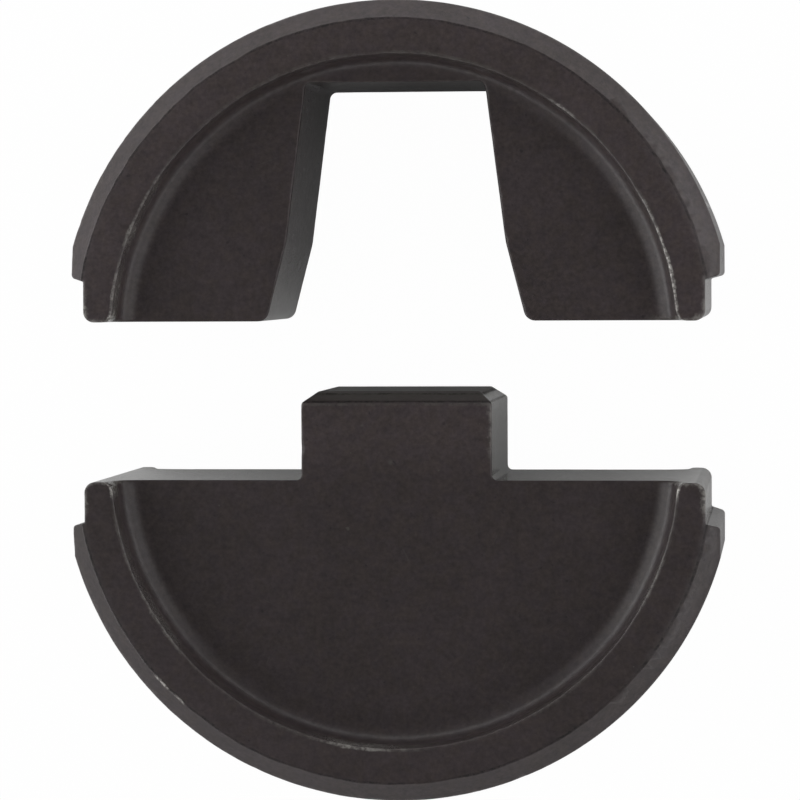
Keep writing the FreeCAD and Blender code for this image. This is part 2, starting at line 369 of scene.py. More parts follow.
def rings_inside(loop, seed):
    """The rim profile's circles as runs of points, kept where they lie on the die."""
    runs = []
    for radius in PROFILE[1:-1, 0]:
        count = round(2 * math.pi * radius / RING_STEP)
        turn = np.arange(count) * 2 * math.pi / count
        circle = radius * np.stack([np.cos(turn), np.sin(turn)], axis=1)
        shift = edge_shift(circle, np.full(count, radius), seed)
        circle *= (1 + shift / radius)[:, None]
        keep = inside(circle, loop)
        keep |= np.roll(keep, 1) | np.roll(keep, -1)
        start = next(k for k in range(count) if not keep[k])
        run = []
        for k in range(start, start + count + 1):
            if keep[k % count]:
                run.append(circle[k % count])
            elif run:
                runs.append(run)
                run = []
    return [run for run in runs if len(run) > 1]


def hexagon_grid(reach_u, reach_v, step):
    """Evenly spread points over a rectangle about the centre."""
    rise = step * math.sqrt(3) / 2
    across, up = math.ceil(reach_u / step), math.ceil(reach_v / rise)
    return np.array([
        ((i + 0.5 * (j % 2)) * step, j * rise)
        for i in range(-across, across + 1) for j in range(-up, up + 1)
    ])


class Drawing:
    """Points and lines in a plane, made into triangles that keep to the lines."""

    def __init__(self):
        self.points = []
        self.lines = []

    def add_line(self, line, closed):
        first, count = len(self.points), len(line)
        self.points.extend(Vector(p) for p in line)
        last = count if closed else count - 1
        self.lines.extend((first + k, first + (k + 1) % count) for k in range(last))

    def add_points(self, points):
        self.points.extend(Vector(p) for p in points)

    def triangles_within(self, loop):
        """Corner points, triangles that lie inside the loop, and each corner's first given point."""
        found = delaunay_2d_cdt(self.points, self.lines, [], 0, 1e-6)
        plan = np.array([tuple(p) for p in found[0]])
        triangles = np.array(found[2])
        triangles = triangles[inside(plan[triangles].mean(axis=1), loop)]
        used, triangles = np.unique(triangles, return_inverse=True)
        given = [min(found[3][k], default=-1) for k in used]
        return plan[used], triangles.reshape(-1, 3), given


def face_mesh(loop, rounds, has_punch, seed, spots):
    """A die's face: plan points, heights, triangles, and what the wear, painted shade and painted light
    go by.
    """
    drawing = Drawing()
    way_in = inward_normals(loop)
    for k in range(EDGE_ROUND_STEPS + 1):
        share = 1 - math.cos(math.pi / 2 * k / EDGE_ROUND_STEPS)
        drawing.add_line(loop + way_in * (share * rounds)[:, None], closed=True)
    drawing.add_line(loop + way_in * (rounds + EDGE_FADE)[:, None], closed=True)
    for run in rings_inside(loop, seed):
        drawing.add_line(run, closed=False)
    if has_punch:
        for step in (-1, 0, 1):
            v = NOSE + NOSE_END_DROP + step * NOSE_CREASE_ROUND
            drawing.add_line([(-PUNCH_HALF - 0.5, v), (PUNCH_HALF + 0.5, v)], closed=False)
    grid = hexagon_grid(SEAT_RADIUS, SEAT_RADIUS, FACE_GRID_STEP)
    grid = grid[inside(grid, loop)]
    grid = grid[nearest_edge(grid, loop, rounds)[0] > FACE_GRID_STEP / 2]
    spacing = np.min(np.abs(np.linalg.norm(grid, axis=1)[:, None] - PROFILE[None, 1:, 0]), axis=1)
    drawing.add_points(grid[spacing > FACE_GRID_STEP / 3])
    plan, triangles, _ = drawing.triangles_within(loop)

    distance, size = nearest_edge(plan, loop, rounds)
    radius = true_radius(plan, seed)
    height = np.interp(radius, PROFILE[:, 0], PROFILE[:, 1])
    height = height - dub_drop(plan, radius, -1 if has_punch else 1)
    crease = np.full(len(plan), NO_CREASE)
    if has_punch:
        height = height - nose_drop(plan[:, 1])
        crease = plan[:, 1] - NOSE - NOSE_END_DROP
    lean = np.clip(1 - distance / size, 0, 1)
    height = height - size * (1 - np.sqrt(1 - lean ** 2))
    if has_punch:
        paleness_and_painted_light = PALE_PUNCH * np.interp(plan[:, 1], (-PALE_PUNCH_FADE, PALE_PUNCH_FADE), (1, 0))
    else:
        # The upper die is painted paler, most of all on its rim: painted light that falls more on it than
        # on the lower die
        rim_edge = (RIM_WALL_RADIUS, RIM_WALL_RADIUS + PAINTED_LIGHT_RIM_FADE)
        paleness_and_painted_light = np.interp(radius, rim_edge, (PAINTED_LIGHT_WEB, PAINTED_LIGHT_RIM))
    values = (distance, radius, crease, rubbing_at(plan, spots), paleness_and_painted_light)
    return plan, height, triangles, values


def rubbing_at(points, spots):
    """How much each place on a die's face is rubbed, from 0 to 1."""
    result = np.zeros(len(points))
    for u, v, reach, strength in spots:
        gap = np.hypot(points[:, 0] - u, points[:, 1] - v)
        near = np.clip(RUBBING_FADE - RUBBING_FADE * gap / reach, 0, 1)
        result = np.maximum(result, strength * near)
    return result


def wall_rubbing(edge):
    """How much the wall under each place on a die's edge is rubbed."""
    across, up = np.abs(edge[:, 0]), edge[:, 1]
    met = (up < CENTRE_OFFSET + ON_FACE) & (up > NOSE + NOSE_SIDE_DROP / 2)
    met |= np.abs(across - SIDE_HALF_WIDTH) < ON_FACE
    at_mouth = WALL_RUBBING * WALL_RUBBING_MOUTH_SHARE
    rest = np.interp(up, (CENTRE_OFFSET, SLOT_BEND), (at_mouth, WALL_RUBBING_DEEP))
    return np.where(met, WALL_RUBBING, rest)


def boundary(triangles):
    """The loop of points round the triangles' outside, anticlockwise."""
    following = {}
    sides = {(a, b) for t in triangles for a, b in zip(t, np.roll(t, -1))}
    for a, b in sides:
        if (b, a) not in sides:
            following[a] = b
    start = next(iter(following))
    loop = [start]
    while following[loop[-1]] != start:
        loop.append(following[loop[-1]])
    if len(loop) != len(following):
        raise RuntimeError("the face has more than one outline")
    return loop


def groove_loop(inset):
    """The groove's outline, laid flat: arc length round the back, and height."""
    half_long = GROOVE_TURN / 2 * SEAT_RADIUS - inset
    half_wide = GROOVE_WIDTH / 2 - inset
    radius = GROOVE_CORNER_ROUND - inset
    points = []
    for quarter in range(4):
        side_s = 1 if quarter in (0, 3) else -1
        side_z = 1 if quarter in (0, 1) else -1
        for k in range(10):
            angle = math.pi / 2 * (quarter + k / 9)
            points.append((
                side_s * (half_long - radius) + radius * math.cos(angle),
                side_z * (half_wide - radius) + radius * math.sin(angle),
            ))
        if quarter in (0, 2):
            run = 2 * (half_long - radius)
            count = round(run / GROOVE_GRID_STEP)
            points += [(points[-1][0] - side_s * run * k / count, points[-1][1]) for k in range(1, count)]
    return points


def groove_steps():
    """The groove's section: inset from its outline, and depth below the back."""
    steps = []
    for k in range(5):
        angle = math.radians(22.5 * k)
        steps.append((
            -GROOVE_LIP_ROUND * (1 - math.sin(angle)),
            GROOVE_LIP_ROUND * (1 - math.cos(angle)),
        ))
    for k in range(5):
        angle = math.radians(22.5 * k)
        steps.append((
            GROOVE_WALL_DRAFT + GROOVE_ROOT_ROUND * (1 - math.cos(angle)),
            GROOVE_DEPTH - GROOVE_ROOT_ROUND * (1 - math.sin(angle)),
        ))
    return steps


def groove_inset(flat):
    """How far inside the groove's outline each laid-flat point lies."""
    half = np.array([GROOVE_TURN / 2 * SEAT_RADIUS, GROOVE_WIDTH / 2]) - GROOVE_CORNER_ROUND
    past = np.abs(flat) - half
    outside = np.linalg.norm(np.maximum(past, 0), axis=1)
    return GROOVE_CORNER_ROUND - outside - np.minimum(past.max(axis=1), 0)


def back_patch(arc, top_z, bottom_z):
    """The back between two rows of the wall, with the groove sunk in it.

    arc holds the rows' places round the back. Gives laid-flat points, depths, triangles,
    insets, and for each point its number among the two rows, or -1.
    """
    count = len(arc)
    frame_loop = [(s, top_z) for s in arc] + [(s, bottom_z) for s in arc[::-1]]
    drawing = Drawing()
    drawing.add_line(frame_loop, closed=True)
    steps = groove_steps()
    for inset, _ in steps:
        drawing.add_line(groove_loop(inset), closed=True)
    grid = hexagon_grid(abs(arc).max(), top_z, GROOVE_GRID_STEP)
    clear = np.abs(grid[:, 1]) < top_z - GROOVE_GRID_STEP / 2
    clear &= np.abs(grid[:, 0]) < abs(arc).max() - GROOVE_GRID_STEP / 2
    inset = groove_inset(grid)
    clear &= (inset < steps[0][0] - GROOVE_GRID_STEP / 3) | (inset > steps[-1][0] + GROOVE_GRID_STEP / 3)
    drawing.add_points(grid[clear])
    flat, triangles, given = drawing.triangles_within(np.array(frame_loop))
    inset = groove_inset(flat)
    depth = np.interp(inset, *zip(*steps))
    given = [k if 0 <= k < 2 * count else -1 for k in given]
    return flat, depth, triangles, inset, given


class Skin:
    """Points with the values that the wear, painted shade and painted light go by, and faces between
    them.
    """

    def __init__(self):
        self.places = []
        self.faces = []
        self.guides = {label: [] for label in WEAR_AND_PAINTED_LIGHT_GUIDES}

    def add(self, places, *values):
        """Adds points with one list of values for each guide of the wear and painted light, and gives the
        points' numbers.
        """
        first = len(self.places)
        self.places.extend(tuple(p) for p in places)
        for label, numbers in zip(WEAR_AND_PAINTED_LIGHT_GUIDES, values, strict=True):
            self.guides[label].extend(numbers)
        return np.arange(first, len(self.places))


def die_mesh(name, loop, has_punch, seed, spots):
    """A whole die: its two faces, the wall round them and the groove in the back."""
    skin = Skin()
    rounds = edge_rounds(loop, seed)
    back_rounds = edge_rounds(loop, seed + BACK_SEED_STEP)
    edges = []
    for side, sizes in ((1, rounds), (-1, back_rounds)):
        plan, height, triangles, values = face_mesh(loop, sizes, has_punch, seed, spots)
        ids = skin.add(np.column_stack([plan, side * height]), *values)
        rim = boundary(triangles)
        first = int(np.argmin(np.linalg.norm(plan[rim] - loop[0], axis=1)))
        rim = np.roll(rim, -first)
        edges.append((ids[rim], plan[rim], height[rim], [v[rim] for v in values]))
        skin.faces += [tuple(ids[t if side > 0 else t[::-1]]) for t in triangles]
    (top, edge, high, values), (bottom, back_edge, low, _) = edges
    if len(edge) != len(back_edge) or not np.allclose(edge, back_edge, atol=SAME_PLACE):
        raise RuntimeError("the two faces' edges differ")
    far = np.full(len(edge), NO_CREASE)
    rows = [top]
    lip_gap = values[1] - RIM_WALL_RADIUS
    off_lip = RIM_WALL_RADIUS + np.where(lip_gap < 0, -1, 1) * np.maximum(np.abs(lip_gap), LIP_CLEAR)
    wall = (off_lip, values[2], wall_rubbing(edge), far * 0)
    for fade in (EDGE_FADE, WALL_FADE):
        rows.append(skin.add(np.column_stack([edge, high - fade]), far * 0 + fade, *wall))
    for fade in (WALL_FADE, EDGE_FADE):
        rows.append(skin.add(np.column_stack([edge, fade - low]), far * 0 + fade, *wall))
    rows.append(bottom)

    turn = np.arctan2(edge[:, 1], edge[:, 0]) - math.pi / 2
    on_back = np.abs(np.linalg.norm(edge, axis=1) - SEAT_RADIUS) < ON_BACK
    window = np.flatnonzero(on_back & (np.abs(turn) < GROOVE_TURN / 2 + GROOVE_MARGIN_TURN))
    for number, (upper, lower) in enumerate(zip(rows, rows[1:])):
        for k in range(len(edge)):
            after = (k + 1) % len(edge)
            if number == 2 and k in window and after in window:
                continue
            skin.faces.append((lower[k], lower[after], upper[after], upper[k]))

    top_row, bottom_row = rows[2][window], rows[3][window]
    arc = turn[window] * SEAT_RADIUS
    top_z = float(np.min(high[window])) - WALL_FADE
    flat, depth, triangles, inset, given = back_patch(arc, top_z, -top_z)
    angle = flat[:, 0] / SEAT_RADIUS + math.pi / 2
    radius = SEAT_RADIUS - depth
    places = np.column_stack([radius * np.cos(angle), radius * np.sin(angle), flat[:, 1]])
    own = np.array([k < 0 for k in given])
    ids = np.full(len(flat), -1)
    rest = (np.full(own.sum(), level) for level in (NO_CREASE, GROOVE_RUBBING, 0.0))
    ids[own] = skin.add(places[own], np.abs(inset[own]), radius[own], *rest)
    shared = list(top_row) + list(bottom_row[::-1])
    for number, k in enumerate(given):
        if k >= 0:
            ids[number] = shared[k]
    skin.faces += [tuple(ids[t]) for t in triangles]
    return finish_mesh(name, skin)


def finish_mesh(name, skin):
    """Makes the mesh, with the values that its wear, painted shade and painted light go by as attributes.
    """
    mesh = bpy.data.meshes.new(name)
    mesh.from_pydata(skin.places, [], [tuple(int(i) for i in face) for face in skin.faces])
    mesh.shade_smooth()
    for label, numbers in skin.guides.items():
        layer = mesh.attributes.new(label, "FLOAT", "POINT")
        layer.data.foreach_set("value", np.array(numbers, np.float32))
    return mesh


def make_die(name, node, body, loop, spots, half_turn):
    """One die, in its place in the set."""
    has_punch = loop[:, 1].min() < 0
    mesh = die_mesh(name, loop, has_punch, LOWER_SEED if half_turn else UPPER_SEED, spots)
    side = -1 if half_turn else 1
    place = Matrix.Translation((0, side * CENTRE_TO_MIDDLE * MM, THICKNESS / 2 * MM))
    turn = Matrix.Rotation(math.pi if half_turn else 0, 4, "Z")
    mesh.transform(place @ turn @ Matrix.Scale(MM, 4))
    die = bpy.data.objects.new(name, mesh)
    bpy.context.scene.collection.objects.link(die)
    flat = die.modifiers.new("flat faces stay flat", "WEIGHTED_NORMAL")
    flat.mode = "FACE_AREA"
    flat.weight = 100
    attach(die, body)
    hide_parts(node)
    return die


SLOT_FORM = [
    (0.0, SLOT_END),
    (SLOT_END_HALF, SLOT_END, SLOT_END_ROUND),
    (SLOT_BEND_HALF, SLOT_BEND, SLOT_BEND_ROUND),
    (SLOT_MOUTH_HALF, CENTRE_OFFSET, SLOT_MOUTH_ROUND),
]
PUNCH_FORM = [
    (0.0, NOSE),
    (PUNCH_HALF - NOSE_SIDE_BEVEL, NOSE, NOSE_CORNER_ROUND),
    (PUNCH_HALF, NOSE + NOSE_SIDE_DROP, NOSE_CORNER_ROUND),
    (PUNCH_HALF, CENTRE_OFFSET, PUNCH_ROOT_ROUND),
]


def sums(tree, kind, *values, clamp=False):
    """A Math node of a tree, fed with numbers or sockets."""
    node = tree.nodes.new("ShaderNodeMath")
    node.operation = kind
    node.use_clamp = clamp
    for socket, value in zip(node.inputs, values):
        if isinstance(value, (int, float)):
            socket.default_value = value
        else:
            tree.links.new(value, socket)
    return node.outputs[0]


def most(tree, first, *others):
    """The greatest of several values."""
    for value in others:
        first = sums(tree, "MAXIMUM", first, value)
    return first


def spread(tree, value, low, high, to_low=0.0, to_high=1.0):
    """A smooth step from low to high."""
    node = tree.nodes.new("ShaderNodeMapRange")
    node.interpolation_type = "SMOOTHSTEP"
    tree.links.new(value, node.inputs["Value"])
    for label, number in (("From Min", low), ("From Max", high), ("To Min", to_low), ("To Max", to_high)):
        if isinstance(number, (int, float)):
            node.inputs[label].default_value = number
        else:
            tree.links.new(number, node.inputs[label])
    return node.outputs["Result"]


def clouds(tree, place, scale, detail=2.0, roughness=0.55, stretch=None):
    """Noise over a place in millimetres; scale is the number of clouds to a millimetre."""
    if stretch:
        squeeze = tree.nodes.new("ShaderNodeMapping")
        squeeze.vector_type = "TEXTURE"
        squeeze.inputs["Rotation"].default_value = (0, 0, math.radians(stretch[0]))
        squeeze.inputs["Scale"].default_value = (stretch[1], 1, 1)
        tree.links.new(place, squeeze.inputs["Vector"])
        place = squeeze.outputs["Vector"]
    node = tree.nodes.new("ShaderNodeTexNoise")
    node.inputs["Scale"].default_value = scale
    node.inputs["Detail"].default_value = detail
    node.inputs["Roughness"].default_value = roughness
    tree.links.new(place, node.inputs["Vector"])
    return node.outputs["Fac"]


def new_group(name, inputs, outputs):
    """An empty shader node group with named sockets."""
    tree = bpy.data.node_groups.new(name, "ShaderNodeTree")
    for label, kind in inputs:
        tree.interface.new_socket(label, in_out="INPUT", socket_type=kind)
    for label, kind in outputs:
        tree.interface.new_socket(label, in_out="OUTPUT", socket_type=kind)
    return tree, tree.nodes.new("NodeGroupInput").outputs, tree.nodes.new("NodeGroupOutput").inputs


def steel_grain_group():
    """Fine grain, blotches and pits of an oxidised steel surface."""
    tree, given, result = new_group(
        "steel_grain",
        [("Place", "NodeSocketVector")],
        [("Tone", "NodeSocketFloat"), ("Hue", "NodeSocketFloat"), ("Height", "NodeSocketFloat")],
    )
    place = given["Place"]
    fine = clouds(tree, place, 2.6, 3.0, 0.65)
    mottled = clouds(tree, place, 1.1, 2.0)
    patches = clouds(tree, place, 0.8, 3.0, 0.65)
    broad = clouds(tree, place, 0.13, 2.0)
    pits = spread(tree, clouds(tree, place, 1.6, 1.0), 0.74, 0.8)
    tone = sums(tree, "MULTIPLY_ADD", sums(tree, "SUBTRACT", fine, 0.5), 1.25, 1.0)
    tone = sums(tree, "MULTIPLY_ADD", sums(tree, "SUBTRACT", mottled, 0.5), 0.65, tone)
    tone = sums(tree, "MULTIPLY_ADD", sums(tree, "SUBTRACT", broad, 0.5), 0.5, tone)
    tree.links.new(sums(tree, "MULTIPLY_ADD", pits, -0.35, tone), result["Tone"])
    hue = sums(tree, "ADD", sums(tree, "MULTIPLY", broad, 0.25), sums(tree, "MULTIPLY", patches, 0.75))
    tree.links.new(spread(tree, hue, 0.4, 0.6), result["Hue"])
    height = sums(tree, "MULTIPLY_ADD", mottled, 0.8, fine)
    tree.links.new(sums(tree, "MULTIPLY_ADD", pits, -0.6, height), result["Height"])
    return tree


def wear_and_shade_line_group():
    """Where an edge is worn, and where shade is painted as a dark line: a broken line that follows a
    distance from the edge.
    """
    tree, given, result = new_group(
        "edge_wear",
        [("Place", "NodeSocketVector"), ("Distance", "NodeSocketFloat"), ("Width", "NodeSocketFloat"),
         ("Rubbing", "NodeSocketFloat")],
        [("Mask", "NodeSocketFloat")],
    )
    place = given["Place"]
    patchy = spread(tree, clouds(tree, place, 0.3, 3.0, 0.6), 0.36, 0.62)
    ragged = clouds(tree, place, 3.1, 3.0, 0.7)
    broken = spread(tree, clouds(tree, place, 2.2, 3.0, 0.7), 0.42, 0.58)
    reach = sums(tree, "MULTIPLY", given["Width"], sums(tree, "MULTIPLY_ADD", ragged, 1.8, 0.1))
    reach = sums(tree, "MULTIPLY", reach, sums(tree, "MULTIPLY_ADD", patchy, 0.5, 0.6))
    near = spread(tree, sums(tree, "ABSOLUTE", given["Distance"]), sums(tree, "MULTIPLY", reach, 0.3),
                  reach, 1.0, 0.0)
    amount = sums(tree, "MULTIPLY", near, sums(tree, "MULTIPLY_ADD", patchy, 0.5, 0.5))
    amount = sums(tree, "MULTIPLY", amount, sums(tree, "MULTIPLY_ADD", broken, 0.75, 0.25))
    tree.links.new(sums(tree, "MULTIPLY", amount, given["Rubbing"], clamp=True), result["Mask"])
    return tree


def fine_scratches_group():
    """Short fine scratches, in a few directions."""
    tree, given, result = new_group(
        "fine_scratches", [("Place", "NodeSocketVector")], [("Mask", "NodeSocketFloat")],
    )
    total = 0.0
    for angle, length, level in ((20, 16, 0.735), (65, 10, 0.745), (118, 18, 0.74), (160, 12, 0.74)):
        line = clouds(tree, given["Place"], 3.4, 1.0, 0.5, stretch=(angle, length))
        line = spread(tree, line, level, level + 0.04)
        total = sums(tree, "ADD", line, total)
    where = spread(tree, clouds(tree, given["Place"], 0.2, 2.0), 0.48, 0.62)
    tree.links.new(sums(tree, "MULTIPLY", total, where, clamp=True), result["Mask"])
    return tree


def nicks_group():
    """Small bright dents, here and there."""
    tree, given, result = new_group(
        "nicks", [("Place", "NodeSocketVector")], [("Mask", "NodeSocketFloat")],
    )
    wavering = clouds(tree, given["Place"], 4.0, 2.0)
    total = 0.0
    for scale, share, size in ((0.16, 0.45, 0.3), (0.45, 0.3, 0.12)):
        cells = tree.nodes.new("ShaderNodeTexVoronoi")
        cells.inputs["Scale"].default_value = scale
        tree.links.new(given["Place"], cells.inputs["Vector"])
        chosen = tree.nodes.new("ShaderNodeSeparateColor")
        tree.links.new(cells.outputs["Color"], chosen.inputs[0])
        reach = sums(tree, "MULTIPLY", sums(tree, "SUBTRACT", wavering, 0.25), 2 * size * scale)
        near = sums(tree, "LESS_THAN", cells.outputs["Distance"], reach)
        picked = sums(tree, "LESS_THAN", chosen.outputs[0], share)
        total = sums(tree, "ADD", sums(tree, "MULTIPLY", near, picked), total)
    tree.links.new(total, result["Mask"])
    return tree


def place_group(tree, group, place, **values):
    """Puts a group into a material, with its own values."""
    node = tree.nodes.new("ShaderNodeGroup")
    node.node_tree = group
    tree.links.new(place, node.inputs["Place"])
    for label, value in values.items():
        if isinstance(value, (int, float)):
            node.inputs[label].default_value = value
        else:
            tree.links.new(value, node.inputs[label])
    return node.outputs


def blend_colours(tree, share, first, second, way="MIX"):
    """A mix of two colours, each a plain colour or a socket."""
    node = tree.nodes.new("ShaderNodeMix")
    node.data_type = "RGBA"
    node.blend_type = way
    factor, one, two = node.inputs[0], node.inputs[6], node.inputs[7]
    for socket, value in ((factor, share), (one, first), (two, second)):
        if isinstance(value, (int, float, tuple)):
            socket.default_value = value
        else:
            tree.links.new(value, socket)
    return node.outputs[2]


# The oxide where it is warmer and cooler, where it is worn thin, the steel under it, and the black of the
# painted shade and burr lines
OXIDE_WARM = (0.0336, 0.0260, 0.0252, 1)
OXIDE_COOL = (0.0322, 0.0252, 0.0266, 1)
WORN_OXIDE = (0.078, 0.074, 0.067, 1)
BARE_STEEL = (0.55, 0.53, 0.50, 1)
SHADE_AND_BURR_BLACK = (0, 0, 0, 1)

# How the surface shines, and what makes it rougher or smoother
SPECULAR_LEVEL = 0.32
ROUGHNESS_DARK = 0.35
ROUGHNESS_PALE = 0.28
SHADE_AND_BURR_ROUGHER = 0.4
WALL_SMOOTHER = -0.2
NOSE_END_ROUGHER = 0.28
BARE_METALLIC = 0.9
BUMP_STRENGTH = 0.35
BUMP_HEIGHT = 0.03

# Lines of wear: how far outside the rim's wall the lip's line runs, and how wide each line is
LIP_LINE_OUT = 0.14
LIP_LINE_WIDTH = 0.22
CREASE_LINE_WIDTH = 0.16
EDGE_LINE_WIDTH = 0.5

# Lines of painted shade along the rim's crease, of painted shade and burr along the nose's two creases,
# and of wear on the nose: width, strength, and what is added to the distance followed
CREASE_PAINTED_SHADE = (0.15, 0.75, 0.1)
NOSE_WEAR = (0.17, 0.5, -0.17)
NOSE_PAINTED_SHADE_AND_BURR = (0.12, 0.9, 0.05)
NOSE_TOP_PAINTED_SHADE_AND_BURR = (0.13, 0.9, 0.68)

# Stops between which a wall counts less and less as upright, by its normal's Z, and stops of the
# distance from the nose's crease for the wear on its bevel and for its rougher end
UPRIGHT_STOPS = (0.15, 0.35)
BEVEL_STOPS = (-0.25, -0.1)
NOSE_END_STOPS = (-0.7, -0.5)

# How strongly each kind of wear shows, and how much paler the pale places are: the upper die, where light
# is painted, and the punch
EDGE_BARE = 0.25
SCRATCH_WEAR = 0.18
NICK_WEAR = 0.45
BEVEL_WEAR = 0.55
PALER = 0.35


def blackened_steel():
    """Black oxide on hardened steel, worn along the edges and rubbed bright in places, with painted shade
    along its creases and painted light on the upper die.
    """
    material = bpy.data.materials.new("blackened_steel")
    material.use_nodes = True
    tree = material.node_tree
    nodes, links = tree.nodes, tree.links
    shader = nodes["Principled BSDF"]
    shader.inputs["Specular IOR Level"].default_value = SPECULAR_LEVEL

    where = nodes.new("ShaderNodeTexCoord")
    scale = nodes.new("ShaderNodeVectorMath")
    scale.operation = "SCALE"
    scale.inputs["Scale"].default_value = 1 / MM
    links.new(where.outputs["Object"], scale.inputs[0])
    place = scale.outputs["Vector"]
    facing = nodes.new("ShaderNodeSeparateXYZ")
    links.new(where.outputs["Normal"], facing.inputs[0])
    guides = {}
    for label in WEAR_AND_PAINTED_LIGHT_GUIDES:
        reader = nodes.new("ShaderNodeAttribute")
        reader.attribute_name = label
        guides[label] = reader.outputs["Fac"]
    rubbing = guides["rubbing"]

    grain = place_group(tree, steel_grain_group(), place)
    wear_and_shade_lines = wear_and_shade_line_group()

    def wear_and_shade_line(distance, width, strength, offset=0.0):
        if offset:
            distance = sums(tree, "ADD", distance, offset)
        return place_group(
            tree, wear_and_shade_lines, place, Distance=distance, Width=width, Rubbing=strength)["Mask"]

    lip = sums(tree, "SUBTRACT", guides["true_radius"], RIM_WALL_RADIUS + LIP_LINE_OUT)
    lip_wear = wear_and_shade_line(lip, LIP_LINE_WIDTH, spread(tree, rubbing, 0.0, 0.5, 0.45, 0.85))
    crease = sums(tree, "SUBTRACT", guides["true_radius"], RIM_FACE_RADIUS)
    crease_wear = wear_and_shade_line(crease, CREASE_LINE_WIDTH, spread(tree, rubbing, 0.4, 0.7, 0.0, 0.8))
    edge_wear = wear_and_shade_line(guides["edge_distance"], EDGE_LINE_WIDTH, rubbing)
    bevel = guides["crease_distance"]
    # Painted shade: dark broken lines along the rim's crease, and with a burr along the nose's two
    # creases
    painted_shade_and_burr = most(
        tree, wear_and_shade_line(bevel, *NOSE_PAINTED_SHADE_AND_BURR), wear_and_shade_line(bevel, *NOSE_TOP_PAINTED_SHADE_AND_BURR),
        wear_and_shade_line(crease, *CREASE_PAINTED_SHADE))
    nicks = place_group(tree, nicks_group(), place)["Mask"]
    for x, y, size in PUNCH_NICKS:
        gap = nodes.new("ShaderNodeVectorMath")
        gap.operation = "DISTANCE"
        gap.inputs[1].default_value = (x, y, THICKNESS - RECESS_DEPTH)
        links.new(place, gap.inputs[0])
        uneven = sums(tree, "MULTIPLY_ADD", grain["Height"], -size, gap.outputs["Value"])
        nicks = sums(tree, "MAXIMUM", nicks, spread(tree, uneven, -size, size / 2, 1.0, 0.0))
    scratches = place_group(tree, fine_scratches_group(), place)["Mask"]
    bright = sums(tree, "MULTIPLY", most(tree, lip_wear, crease_wear), rubbing)
    bright = most(tree, bright, sums(tree, "MULTIPLY", edge_wear, EDGE_BARE))
    upright = spread(tree, sums(tree, "ABSOLUTE", facing.outputs["Z"]), *UPRIGHT_STOPS, 1.0, 0.0)
    rubbed_wall = sums(tree, "MULTIPLY", upright, rubbing)
    worn = most(
        tree, lip_wear, edge_wear, wear_and_shade_line(bevel, *NOSE_WEAR),
        sums(tree, "MULTIPLY", rubbed_wall, grain["Tone"]),
        sums(tree, "MULTIPLY", scratches, SCRATCH_WEAR),
        sums(tree, "MULTIPLY", nicks, NICK_WEAR),
        spread(tree, bevel, *BEVEL_STOPS, BEVEL_WEAR, 0.0))

    oxide = blend_colours(tree, grain["Hue"], OXIDE_WARM, OXIDE_COOL)
    oxide = blend_colours(tree, 1.0, oxide, grain["Tone"], "MULTIPLY")
    # Paler where light is painted on the upper die, and on the punch
    pale = sums(tree, "MULTIPLY_ADD", guides["paleness_and_painted_light"], PALER, 1.0)
    oxide = blend_colours(tree, 1.0, oxide, pale, "MULTIPLY")
    # The painted shade and burr lines darken the oxide towards black
    oxide = blend_colours(tree, painted_shade_and_burr, oxide, SHADE_AND_BURR_BLACK)
    oxide = blend_colours(tree, worn, oxide, WORN_OXIDE)
    links.new(blend_colours(tree, bright, oxide, BARE_STEEL), shader.inputs["Base Color"])
    links.new(sums(tree, "MULTIPLY", bright, BARE_METALLIC), shader.inputs["Metallic"])
    roughness = spread(tree, grain["Tone"], 0.5, 1.5, ROUGHNESS_DARK, ROUGHNESS_PALE)
    roughness = sums(tree, "MULTIPLY_ADD", painted_shade_and_burr, SHADE_AND_BURR_ROUGHER, roughness)
    roughness = sums(tree, "MULTIPLY_ADD", rubbed_wall, WALL_SMOOTHER, roughness)
    nose_end = spread(tree, bevel, *NOSE_END_STOPS, NOSE_END_ROUGHER, 0.0)
    roughness = sums(tree, "MULTIPLY_ADD", upright, nose_end, roughness)
    links.new(roughness, shader.inputs["Roughness"])
    bump = nodes.new("ShaderNodeBump")
    bump.inputs["Strength"].default_value = BUMP_STRENGTH
    bump.inputs["Distance"].default_value = BUMP_HEIGHT * MM
    links.new(grain["Height"], bump.inputs["Height"])
    links.new(bump.outputs["Normal"], shader.inputs["Normal"])
    return material


upper = make_die(
    "upper_die_block", "upper_die", "upper_half", die_outline(SLOT_FORM), UPPER_RUBBING, False)
lower = make_die(
    "lower_die_block", "lower_die", "lower_half", die_outline(PUNCH_FORM), LOWER_RUBBING, True)
steel = blackened_steel()
for die in (upper, lower):
    die.data.materials.append(steel)


# The floor: half width in metres, drop below the dies in millimetres, how much of what the camera
# sees of it is plain white, its paleness along Y, half the length in metres over which that
# changes, and its roughness
FLOOR_HALF = 1.5
FLOOR_DROP = 0.1
FLOOR_SHARE_SEEN = 0.985
FLOOR_LEVELS = ((0.0, 0.62), (0.42, 0.62), (0.5, 0.94), (1.0, 0.94))
FLOOR_FADE_HALF = 0.4
FLOOR_ROUGHNESS = 0.9

# The light tent: its level by height, that level's scale, and how it changes along and across the dies
SKY_LEVELS = ((0.0, 1.4), (0.12, 1.15), (0.32, 0.18), (0.9, 0.12), (0.98, 0.12))
SKY_SCALE = 2.0
SKY_FALL_ALONG = 0.12
SKY_FALL_ACROSS = -0.28
# Its two panels: their level by height, then direction, full and end angle in degrees, and strength
PANEL_LEVELS = ((0.0, 0.8), (0.3, 0.45), (0.5, 0.8), (0.66, 1.0), (0.8, 0.75), (0.96, 0.0))
PANELS = ((182, 12, 48, 1.6), (355, 22, 60, 1.75))


def levels_by(tree, value, stops):
    """A level that follows a value through a few stops."""
    ramp = tree.nodes.new("ShaderNodeValToRGB")
    elements = ramp.color_ramp.elements
    for number, (position, level) in enumerate(stops):
        stop = elements[number] if number < 2 else elements.new(position)
        stop.position = position
        stop.color = (level, level, level, 1)
    tree.links.new(value, ramp.inputs["Fac"])
    return ramp.outputs["Color"]


